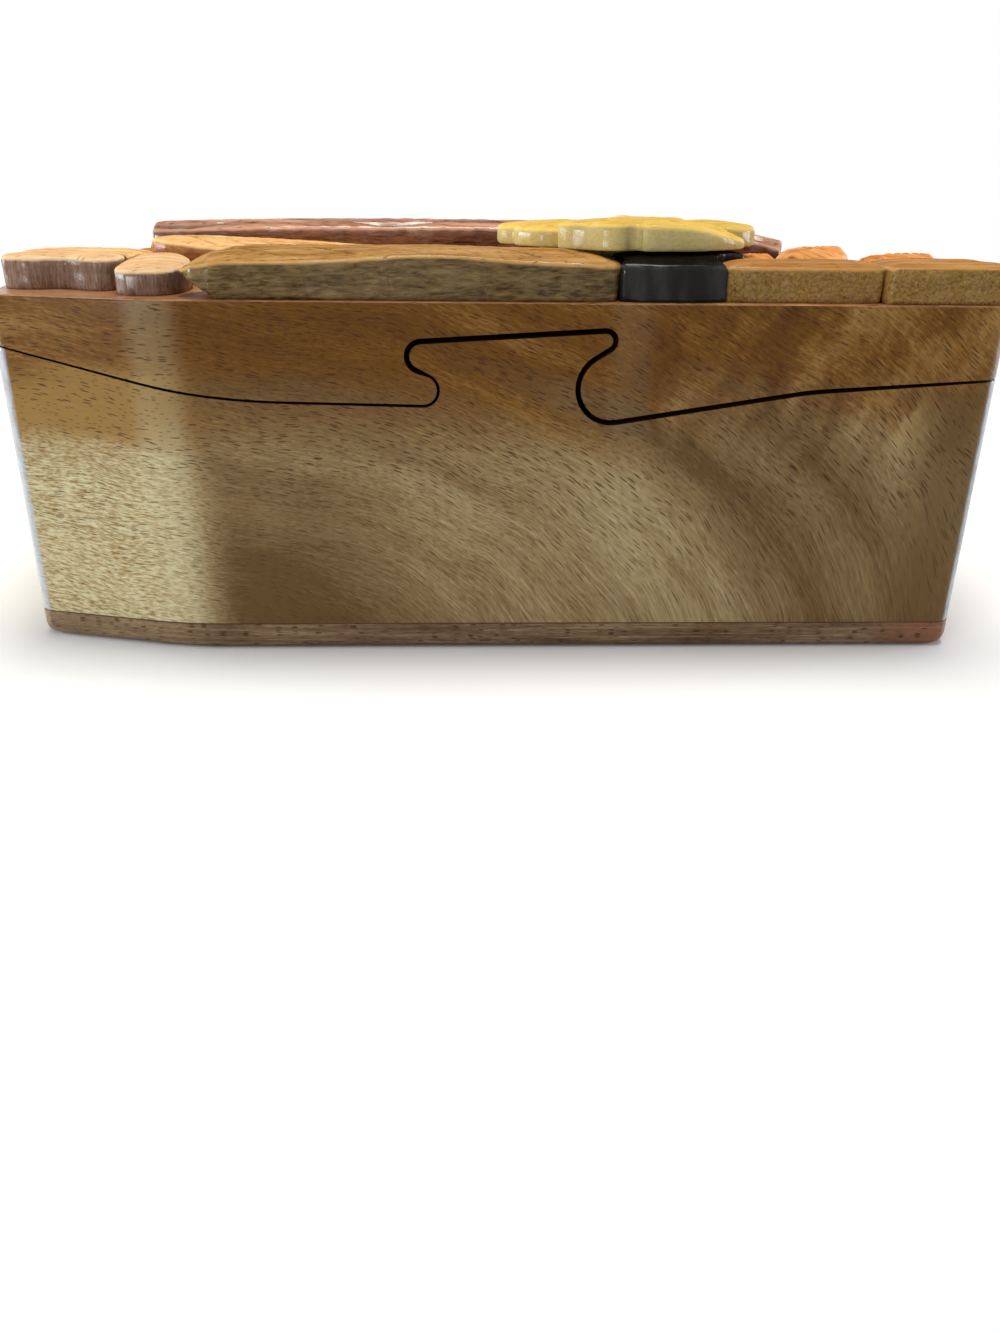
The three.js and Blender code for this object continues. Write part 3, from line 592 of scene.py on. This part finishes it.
def relief_wood(name, top, side, contrast, angle=0.0, streak_width=1.6, marks=HATCHED, depth=0.5,
                varnish=0.35, pore_amount=0.4):
    """A carved piece's wood: polished top, sawn sides coloured darker partly as painted shade, and darker
    grooves.

    top and side are (dark, light) colours, angle turns the grain from the X axis, in degrees, and depth
    is how strong the marks on the sides are.
    """
    g = Graph(name)
    (x, y, z), (_, _, nz) = g.place()
    turn = math.radians(angle)
    along = g.plus(g.times(x, math.cos(turn)), g.times(y, math.sin(turn)))
    across = g.plus(g.times(x, -math.sin(turn)), g.times(y, math.cos(turn)))
    wander = g.noise(g.scaled((along, across, z), (0.06, 0.12, 0.1)))
    across = g.plus(across, g.times(wander, RELIEF_WANDER))

    fine = 1 / streak_width
    streak_scales = (0.07 * fine, 0.5 * fine, 0.6 * fine)
    streak = g.noise(g.scaled((along, across, z), streak_scales), detail=4.0, roughness=0.62)
    fibre = g.noise(g.scaled((along, across, z), (0.3, 3.0, 3.0)), roughness=0.6)
    figure = g.plus(0.5, g.plus(g.swing(streak, 1.4 * contrast), g.swing(fibre, 0.5 * contrast)))
    top_colour = g.ramp(figure, (0.2, top[0]), (0.8, top[1]))

    sideways, upwards = marks
    spot = g.scaled((x, y, z), (sideways, sideways, upwards))
    mark = g.noise(spot, detail=5.0, roughness=0.68, distortion=0.6)
    side_figure = g.plus(g.times(figure, 0.5), g.plus(0.25, g.swing(mark, 2.2 * depth)))
    side_colour = g.ramp(side_figure, (0.2, side[0]), (0.8, side[1]))
    # Sides take their own colours, mostly darker than the tops: partly sawn end grain, partly painted shade
    up = g.fade(nz, 0.25, 0.75)
    colour = g.mix(up, side_colour, top_colour)
    # Painted highlight: the rounded rims between side and top are coloured as the light top wood; their
    # varnish is glossier too
    rim = g.times(g.fade(nz, 0.12, 0.4), g.fade(nz, 0.92, 0.65))
    colour = g.mix(g.times(rim, 0.7), colour, top[1])

    pore = pores(g, along, across, *RELIEF_PORE, pore_amount)
    colour = g.mix(g.times(g.times(pore, 0.6), up), colour, side[0])
    # The carved grooves are coloured darker
    groove = g.add("ShaderNodeAttribute", attribute_name="groove").outputs["Fac"]
    colour = g.mix(g.times(groove, 0.7), colour, side[0])

    level = g.math("SUBTRACT", 1.0, up)
    height = g.plus(g.times(fibre, 0.35), g.times(g.times(mark, level), 2.0 * depth))
    normal = g.bump(g.plus(height, g.times(pore, -0.5)), RELIEF_GRAIN, 0.7)
    uneven = g.noise(g.scaled((x, y, z), (0.3, 0.3, 0.08)), detail=3.0)
    spread = g.plus(g.math("MULTIPLY_ADD", up, -0.75, 1.0), rim)
    return g.surface(
        Base_Color=colour,
        Roughness=0.45,
        Normal=normal,
        Coat_Weight=g.times(g.fade(uneven, 0.35, 0.65, 0.4 * varnish, 1.3 * varnish), spread),
        Coat_Roughness=0.15,
        Specular_IOR_Level=0.0,
    )


# Felt and metal

def felt():
    g = Graph("lining_felt")
    (x, y, z), _ = g.place()
    spot = g.vector(x, y, z)
    fuzz = g.noise(spot, 3.0, 4.0, 0.7)
    cloud = g.noise(spot, 0.12, 2.0)
    colour = g.ramp(
        g.plus(g.times(fuzz, 0.7), g.times(cloud, 0.3)), (0.3, srgb(52, 18, 18)), (0.7, srgb(112, 42, 38))
    )
    normal = g.bump(fuzz, FELT_FUZZ, 0.8)
    return g.surface(
        Base_Color=colour, Roughness=0.95, Normal=normal, Sheen_Weight=0.6, Sheen_Roughness=0.5,
        Specular_IOR_Level=0.1,
    )


def nickel():
    g = Graph("nickel")
    (x, y, z), _ = g.place()
    scratch = g.noise(g.scaled((x, y, z), (6.0, 6.0, 0.4)), detail=3.0)
    dull = g.noise(g.vector(x, y, z), 0.7)
    colour = g.ramp(dull, (0.3, srgb(168, 168, 170)), (0.7, srgb(205, 205, 208)))
    return g.surface(
        Base_Color=colour, Metallic=1.0, Roughness=g.fade(scratch, 0.3, 0.7, 0.18, 0.34),
        Normal=g.bump(scratch, METAL_SCRATCH, 0.4),
    )


# Camera

CAMERA_PLACE = Vector((-7.37, -282.3, 94.2)) * MM
CAMERA_RIGHT = Vector((0.99924, -0.03911, 0.0))
CAMERA_FORWARD = Vector((0.0355, 0.9062, -0.4213))
CAMERA_ROLL = math.radians(0.70)
CAMERA_LENS = 28.63
CAMERA_SENSOR = 36.0
CAMERA_CLIP = (0.01, 30.0)


def make_camera():
    data = bpy.data.cameras.new("camera")
    data.lens = CAMERA_LENS
    data.sensor_width = CAMERA_SENSOR
    data.clip_start, data.clip_end = CAMERA_CLIP
    camera = add_object("camera", data)
    right = CAMERA_RIGHT.normalized()
    up = right.cross(CAMERA_FORWARD).normalized()
    turned = Matrix((right, up, right.cross(up))).transposed() @ Matrix.Rotation(CAMERA_ROLL, 3, "Z")
    camera.matrix_world = Matrix.Translation(CAMERA_PLACE) @ turned.to_4x4()
    bpy.context.scene.camera = camera


# Floor, world and lamps

FLOOR_REACH = 6.0
FLOOR_NEAR = 0.10
FLOOR_FAR = 0.42
FLOOR_SEEN = 1.0
FLOOR_BOUNCE = 0.62
WORLD_FILL = 0.22


def seen_directly(g):
    """1 for what the camera sees, itself or in metal, glass and varnish, and 0 for soft light."""
    path = g.add("ShaderNodeLightPath")
    mirrored = g.math("MAXIMUM", path.outputs["Is Glossy Ray"], path.outputs["Is Transmission Ray"])
    return g.math("MAXIMUM", path.outputs["Is Camera Ray"], mirrored)


def make_floor():
    g = Graph("pale_floor")
    seen = seen_directly(g)
    bounce = (FLOOR_BOUNCE, FLOOR_BOUNCE, FLOOR_BOUNCE, 1.0)
    shown = (FLOOR_SEEN, FLOOR_SEEN, FLOOR_SEEN, 1.0)
    matte = g.add("ShaderNodeBsdfDiffuse", {"Color": g.mix(seen, bounce, shown)})
    white = g.add("ShaderNodeEmission", {"Color": (1.0, 1.0, 1.0, 1.0), "Strength": 1.0})
    point = g.add("ShaderNodeNewGeometry").outputs["Position"]
    away = g.add("ShaderNodeVectorMath", {0: point}, operation="LENGTH").outputs["Value"]
    far = g.times(g.fade(away, FLOOR_NEAR, FLOOR_FAR), seen)
    blend = g.add("ShaderNodeMixShader", {0: far, 1: matte.outputs[0], 2: white.outputs[0]})
    g.finish(blend.outputs[0])
    mesh = bpy.data.meshes.new("floor")
    reach = FLOOR_REACH
    corners = [(-reach, -reach, 0), (reach, -reach, 0), (reach, reach, 0), (-reach, reach, 0)]
    mesh.from_pydata(corners, [], [(0, 1, 2, 3)])
    mesh.materials.append(g.material)
    floor = add_object("floor", mesh)


def make_world():
    world = bpy.data.worlds.new("studio")
    world.use_nodes = True
    g = Graph("studio", world.node_tree)
    seen = seen_directly(g)
    strength = g.math("MAXIMUM", seen, WORLD_FILL)
    sky = g.add("ShaderNodeBackground", {"Color": (1.0, 1.0, 1.0, 1.0), "Strength": strength})
    g.add("ShaderNodeOutputWorld", {"Surface": sky.outputs[0]})
    bpy.context.scene.world = world


# The point near the box's middle that every lamp is turned to, and the lamps, in metres and watts
LAMP_TARGET = Vector((0.0, 0.0, 0.045))
LAMPS = [
    {"name": "top_light", "place": (0.05, 0.10, 1.1), "size": (0.55, 0.4), "power": 9.0,
     "colour": (1.0, 0.97, 0.92)},
    {"name": "left_window", "place": (-0.90, 0.08, 0.13), "size": (0.55, 0.2), "power": 6.0,
     "colour": (0.86, 0.93, 1.0)},
    {"name": "low_left", "place": (-0.62, -0.75, 0.09), "size": (0.22, 0.12), "power": 1.8,
     "colour": (0.95, 0.97, 1.0)},
    {"name": "right_back", "place": (0.9, 0.10, 0.16), "size": (0.35, 0.25), "power": 3.5,
     "colour": (0.86, 0.93, 1.0)},
    {"name": "above_front", "place": (-0.15, -0.42, 0.95), "size": (0.28, 0.14), "power": 1.2,
     "colour": (0.84, 0.92, 1.0)},
]


def make_lamps():
    for lamp in LAMPS:
        data = bpy.data.lights.new(lamp["name"], "AREA")
        data.shape = "RECTANGLE"
        data.size, data.size_y = lamp["size"]
        data.energy = lamp["power"]
        data.color = lamp["colour"]
        light = add_object(lamp["name"], data)
        light.location = lamp["place"]
        aim = LAMP_TARGET - light.location
        light.rotation_mode = "QUATERNION"
        light.rotation_quaternion = aim.to_track_quat("-Z", "Y")


# Rigid pieces that keep their CAD shape

def round_corners(piece):
    """Rounds a node's two upright front corners more than its other edges."""
    group = piece.vertex_groups.new(name="corners")
    points = point_rows(piece.data, "co")[:, :2]
    for corner in front_corners(piece.data):
        near = np.linalg.norm(points - corner, axis=1) < SAME_CORNER
        group.add(np.flatnonzero(near).tolist(), 1.0, "REPLACE")
    bevel = piece.modifiers.new("round_corners", "BEVEL")
    bevel.width = CORNER_ROUND
    bevel.segments = 4
    bevel.limit_method = "VGROUP"
    bevel.vertex_group = "corners"


def dress(name, material, edge, rounded=False):
    """Gives a CAD node its material, softly rounded edges and smooth shading."""
    piece = nodes[name]
    piece.data.materials.clear()
    piece.data.materials.append(material)
    piece.data.shade_smooth()
    weld = piece.modifiers.new("join", "WELD")
    weld.merge_threshold = SAME_POINT
    if rounded:
        round_corners(piece)
    flat = piece.modifiers.new("flats", "DECIMATE")
    flat.decimate_type = "DISSOLVE"
    flat.angle_limit = FLAT_ANGLE
    bevel = piece.modifiers.new("soft_edges", "BEVEL")
    bevel.width = edge
    bevel.segments = 3
    bevel.limit_method = "ANGLE"
    bevel.angle_limit = SHARP_ANGLE
    bevel.miter_outer = "MITER_ARC"
    normals = piece.modifiers.new("shading", "WEIGHTED_NORMAL")
    normals.weight = 100
    normals.keep_sharp = False


def dress_cad_pieces():
    dress("body_block", block_wood("body_wood", CORNER_PAINTED_LIGHT), SOFT_EDGE, rounded=True)
    dress("lid_slab", block_wood("lid_wood", 0.0), LID_EDGE)
    dress("bottom_board", board_wood(), SOFT_EDGE, rounded=True)
    metal = nickel()
    for name in nodes:
        if "magnet" in name:
            dress(name, metal, MAGNET_EDGE)


# Carved pieces

# Half widths of the carved lines and of the pricked dots
MIDRIB = 0.6 * MM
VEIN = 0.5 * MM
PETAL_DOT = 0.75 * MM
RING_DOT = 0.55 * MM
MIDDLE_DOT = 0.6 * MM

# The dots near a petal's rim, as shares of its half angle, and the number in a centre's ring
PETAL_DOTS = (-0.55, 0.1, 0.62)
RING_DOTS = 7

# How far out the dots are, as shares of the radius
PETAL_DOTS_OUT = 0.84
RING_DOTS_OUT = 0.58

# How far a face looks upwards: not carved at the first value, fully carved at the second
CARVED = (0.35, 0.8)

# The waves that make up the unevenness of hand work
RIPPLE_WAVES = 6


def evaluated_copy(source, name, build):
    """A new mesh from the source's mesh with modifiers that build() adds."""
    work = add_object(name + "_work", source.data.copy())
    build(work)
    graph = bpy.context.evaluated_depsgraph_get()
    mesh = bpy.data.meshes.new_from_object(work.evaluated_get(graph))
    bpy.data.objects.remove(work)
    mesh.name = name
    return mesh


def voxel_mesh(source, name, voxel, smoothing=3):
    def build(work):
        remesh = work.modifiers.new("remesh", "REMESH")
        remesh.mode = "VOXEL"
        remesh.voxel_size = voxel
        smooth = work.modifiers.new("smooth", "SMOOTH")
        smooth.factor = 0.5
        smooth.iterations = smoothing
    return evaluated_copy(source, name, build)


def smoothstep(values, start, end):
    share = np.clip((values - start) / (end - start), 0, 1)
    return share * share * (3 - 2 * share)


def groove(distance, half_width):
    """Depth share of a rounded groove at a distance from its middle."""
    return np.exp(-((distance / half_width) ** 2))


def lengthwise(points):
    """Each point's place along a piece, from -1 to 1, and across it, and the piece's half length."""
    flat = points[:, :2]
    middle = (flat.min(0) + flat.max(0)) / 2
    centred = flat - middle
    _, axes = np.linalg.eigh(np.cov(centred.T))
    axis = axes[:, 1] * np.sign(axes[0, 1] or 1)
    along = centred @ axis
    across = centred @ np.array([-axis[1], axis[0]])
    middle_along = (along.max() + along.min()) / 2
    half_length = (along.max() - along.min()) / 2
    return (along - middle_along) / half_length, across, half_length


def centreline(share, across, bins=24):
    """The middle and half width of a piece at each point, from its own outline."""
    index = np.clip(((share + 1) / 2 * bins).astype(int), 0, bins - 1)
    lows = np.full(bins, np.nan)
    highs = np.full(bins, np.nan)
    for i in range(bins):
        inside = across[index == i]
        if len(inside):
            lows[i] = inside.min()
            highs[i] = inside.max()
    known = ~np.isnan(lows)
    spots = (np.arange(bins) + 0.5) / bins * 2 - 1
    low = np.interp(share, spots[known], lows[known])
    high = np.interp(share, spots[known], highs[known])
    return (low + high) / 2, np.maximum((high - low) / 2, NARROWEST)


def leaf_grooves(points, veins=5, slant=1.0, depth=0.55 * MM):
    """A midrib and pairs of side veins."""
    share, across, half_length = lengthwise(points)
    middle, half = centreline(share, across)
    off = across - middle
    reach = np.abs(off) / half
    rib = groove(off, MIDRIB) * smoothstep(np.abs(share), 0.93, 0.8)
    along = share * half_length
    spacing = 2 * half_length / (veins + 1)
    phase = (along - slant * np.abs(off)) / spacing
    nearest = np.abs(phase - np.round(phase)) * spacing
    side = groove(nearest, VEIN) * smoothstep(reach, 0.9, 0.7) * smoothstep(np.abs(share), 0.9, 0.75)
    return depth * np.maximum(rib, 0.75 * side)


def bark_grooves(points, lines=4, depth=0.7 * MM, seed=3):
    """Long wavy grooves along a branch."""
    share, across, half_length = lengthwise(points)
    middle, half = centreline(share, across, 40)
    off = (across - middle) / half
    along = share * half_length / MM
    cut = np.zeros(len(points))
    random = np.random.default_rng(seed)
    for line in range(lines):
        home = (line + 0.5) / lines * 2 - 1
        wave = 0.14 * np.sin(along / random.uniform(7, 13) + random.uniform(0, 6))
        wave += 0.06 * np.sin(along / random.uniform(2.5, 4) + random.uniform(0, 6))
        strength = 0.55 + 0.45 * np.sin(along / random.uniform(9, 16) + random.uniform(0, 6))
        width = random.uniform(0.5, 0.8) * MM
        cut = np.maximum(cut, strength * groove((off - home * 0.75 - wave) * half, width))
    return depth * cut * smoothstep(np.abs(off), 1.0, 0.85)


def petal_grooves(points, centre, depth=0.5 * MM, veins=3):
    """Lines that fan out from a blossom's centre, and a few pricked dots near the rim."""
    offset = points[:, :2] - np.array(centre)
    radius = np.linalg.norm(offset, axis=1)
    mean = offset.mean(0)
    heading = math.atan2(mean[1], mean[0])
    angle = np.arctan2(offset[:, 1], offset[:, 0]) - heading
    angle = (angle + math.pi) % (2 * math.pi) - math.pi
    outer = np.percentile(radius, 99)
    inner = radius.min()
    spread = np.percentile(np.abs(angle), 99)
    reach = (radius - inner) / (outer - inner)
    cut = np.zeros(len(points))
    for vein in range(veins):
        home = (vein - (veins - 1) / 2) / veins * spread
        bend = home * (1 + 0.35 * reach)
        line = groove((angle - bend) * radius, VEIN)
        cut = np.maximum(cut, line * smoothstep(reach, 0.05, 0.2) * smoothstep(reach, 0.78, 0.6))
    for dot in PETAL_DOTS:
        home = dot * spread
        spot = outer * PETAL_DOTS_OUT * np.array([math.cos(home + heading), math.sin(home + heading)])
        away = np.linalg.norm(offset - spot, axis=1)
        cut = np.maximum(cut, 1.4 * groove(away, PETAL_DOT))
    return depth * cut


def disc_grooves(points, depth=0.6 * MM):
    """Pricked dots in a ring and one in the middle."""
    centre = (points[:, :2].min(0) + points[:, :2].max(0)) / 2
    offset = points[:, :2] - centre
    radius = np.linalg.norm(offset, axis=1).max()
    cut = groove(np.linalg.norm(offset, axis=1), MIDDLE_DOT)
    for i in range(RING_DOTS):
        angle = 2 * math.pi * i / RING_DOTS
        spot = RING_DOTS_OUT * radius * np.array([math.cos(angle), math.sin(angle)])
        cut = np.maximum(cut, groove(np.linalg.norm(offset - spot, axis=1), RING_DOT))
    return depth * cut


def no_grooves(points):
    return np.zeros(len(points))


def ripple(points, seed, wavelength=5.0, size=0.12):
    """The unevenness of hand work, in metres."""
    random = np.random.default_rng(seed)
    total = np.zeros(len(points))
    for _ in range(RIPPLE_WAVES):
        direction = random.normal(size=3)
        direction /= np.linalg.norm(direction)
        phase = random.uniform(0, 2 * math.pi)
        length = wavelength * random.uniform(0.6, 1.6)
        total += np.sin(points @ direction / MM * 2 * math.pi / length + phase)
    return total / RIPPLE_WAVES * size * MM


def make_piece(name, mesh, points, material, faces_kept):
    """An object of a mesh with its points moved, its own material and fewer faces."""
    mesh.vertices.foreach_set("co", points.ravel())
    mesh.update()
    mesh.shade_smooth()
    mesh.materials.clear()
    mesh.materials.append(material)
    piece = add_object(name, mesh)
    thin = piece.modifiers.new("fewer_faces", "DECIMATE")
    thin.ratio = faces_kept
    return piece


def carve(name, material, grooves, seed):
    """A fine, carved piece that stands for one CAD node of the relief."""
    low, high = (np.array(corner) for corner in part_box(name))
    smoothing = SOFT_SMOOTHING if "leaf" in name or name == "branch" else CRISP_SMOOTHING
    mesh = voxel_mesh(nodes[name], name + "_carved", VOXEL, smoothing)
    points = point_rows(mesh, "co")
    normals = point_rows(mesh, "normal")
    up = smoothstep(normals[:, 2], *CARVED)
    cut = grooves(points) * up
    moved = points + normals * ripple(points, seed)[:, None]
    moved[:, 2] -= cut
    underside = points[:, 2] < LID_TOP + 0.5 * VOXEL
    moved[underside, 2] = LID_TOP
    moved = np.clip(moved, low, high)
    attribute = mesh.attributes.new("groove", "FLOAT", "POINT")
    attribute.data.foreach_set("value", np.clip(cut / GROOVE_DARK_DEPTH, 0, 1).astype(np.float32))
    piece = make_piece(name + "_carved", mesh, moved, material, RELIEF_FACES_KEPT)
    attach(piece, "lid")
    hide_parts(name)


def middle_of(*names):
    """The middle, seen from above, of the box round some nodes."""
    corners = [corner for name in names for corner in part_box(name)]
    xs = [corner.x for corner in corners]
    ys = [corner.y for corner in corners]
    return ((min(xs) + max(xs)) / 2, (min(ys) + max(ys)) / 2)


# The relief's woods, as relief_wood() takes them
RELIEF_WOODS = {
    "yellow_wood": {
        "top": (srgb(202, 156, 60), srgb(244, 206, 104)),
        "side": (srgb(184, 162, 92), srgb(234, 214, 150)),
        "angle": 20, "streak_width": 2.2, "contrast": 0.7, "marks": SPECKLED, "depth": 0.3,
    },
    "pale_wood": {
        "top": (srgb(224, 180, 104), srgb(246, 214, 144)),
        "side": (srgb(160, 128, 80), srgb(204, 176, 122)),
        "angle": 60, "contrast": 0.6, "marks": SPECKLED, "depth": 0.3,
    },
    "red_wood": {
        "top": (srgb(128, 76, 50), srgb(220, 168, 134)),
        "side": (srgb(76, 42, 32), srgb(170, 122, 98)),
        "angle": -3, "streak_width": 1.4, "contrast": 1.3, "marks": GRAINED, "varnish": 0.8,
    },
    "orange_wood": {
        "top": (srgb(212, 134, 64), srgb(255, 214, 146)),
        "side": (srgb(160, 90, 42), srgb(230, 166, 104)),
        "angle": -12, "streak_width": 1.5, "contrast": 1.2, "marks": GRAINED,
    },
    "bright_wood": {
        "top": (srgb(210, 122, 52), srgb(252, 184, 108)),
        "side": (srgb(156, 86, 38), srgb(224, 150, 86)),
        "angle": -12, "streak_width": 1.5, "contrast": 1.2, "marks": GRAINED,
    },
    "olive_wood": {
        "top": (srgb(146, 98, 42), srgb(206, 158, 92)),
        "side": (srgb(70, 50, 20), srgb(152, 126, 82)),
        "angle": 2, "streak_width": 1.5, "contrast": 1.2, "marks": GRAINED, "depth": 0.7, "pore_amount": 0.7,
    },
    "golden_wood": {
        "top": (srgb(146, 92, 38), srgb(206, 150, 80)),
        "side": (srgb(102, 70, 24), srgb(194, 156, 88)),
        "angle": 4, "contrast": 0.8, "marks": SPECKLED, "depth": 0.65,
    },
    "grey_brown_wood": {
        "top": (srgb(216, 154, 92), srgb(250, 216, 166)),
        "side": (srgb(110, 80, 58), srgb(178, 150, 130)),
        "angle": 10, "contrast": 0.8, "depth": 0.7,
    },
    "ebony": {
        "top": (srgb(16, 13, 10), srgb(30, 25, 19)),
        "side": (srgb(24, 22, 20), srgb(46, 44, 42)),
        "contrast": 0.6, "marks": SPECKLED, "depth": 0.05, "varnish": 0.4, "pore_amount": 0.1,
    },
}


def make_relief():
    woods = {name: relief_wood(name, **look) for name, look in RELIEF_WOODS.items()}
    big_centre = middle_of("blossom_centre")
    small_centre = middle_of("small_blossom_centre")
    plan = {}
    for name in nodes:
        if name.startswith("blossom_petal"):
            plan[name] = ("yellow_wood", lambda points: petal_grooves(points, big_centre))
        elif name.startswith("small_blossom_petal"):
            plan[name] = ("yellow_wood", lambda points: petal_grooves(points, small_centre, veins=2))
        elif name.endswith("blossom_centre"):
            plan[name] = ("pale_wood", disc_grooves)
        elif name.startswith("orange_leaf"):
            plan[name] = ("bright_wood", lambda points: leaf_grooves(points, 9, 0.9))
        elif name in ("branch", "twig_left", "twig_right"):
            plan[name] = ("red_wood", bark_grooves)
        elif name.startswith("garden_step"):
            plan[name] = ("golden_wood", no_grooves)
    plan["orange_leaf_left"] = ("orange_wood", lambda points: leaf_grooves(points, 9, 0.9))
    plan["front_leaf"] = ("olive_wood", lambda points: leaf_grooves(points, 6, 1.3))
    plan["dark_bud"] = ("ebony", no_grooves)
    plan["cloud_lobe_right"] = ("grey_brown_wood", no_grooves)
    plan["cloud_lobe_front"] = ("grey_brown_wood", no_grooves)
    plan["cloud_lobe_back"] = ("orange_wood", no_grooves)
    plan["back_leaf_left"] = ("golden_wood", leaf_grooves)
    plan["back_leaf_far_left"] = ("olive_wood", leaf_grooves)
    plan["back_leaf_middle"] = ("olive_wood", lambda points: leaf_grooves(points, 7))
    plan["back_leaf_right"] = ("orange_wood", leaf_grooves)
    plan["back_bud_right"] = ("yellow_wood", lambda points: leaf_grooves(points, 3))
    plan["back_bud_left"] = ("ebony", lambda points: leaf_grooves(points, 3))
    for seed, (name, (wood, grooves)) in enumerate(sorted(plan.items())):
        carve(name, woods[wood], grooves, seed)


# Felt lining

def make_lining():
    low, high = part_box("floor_lining")
    mesh = voxel_mesh(nodes["floor_lining"], "felt_lining", LINING_VOXEL)
    points = point_rows(mesh, "co")
    top = smoothstep(points[:, 2], low.z + LINING_BASE, high.z)
    waves = ripple(points * [1, 1, 0], LINING_SEED, LINING_WAVES, LINING_WAVE_SIZE)
    points[:, 2] -= top * (NAP + np.abs(waves))
    points = np.clip(points, np.array(low), np.array(high))
    piece = make_piece("felt_lining", mesh, points, felt(), LINING_FACES_KEPT)
    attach(piece, "box")
    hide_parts("floor_lining")


make_camera()
make_floor()
make_world()
make_lamps()
dress_cad_pieces()
make_relief()
make_lining()

bpy.context.scene.view_settings.view_transform = "Standard"
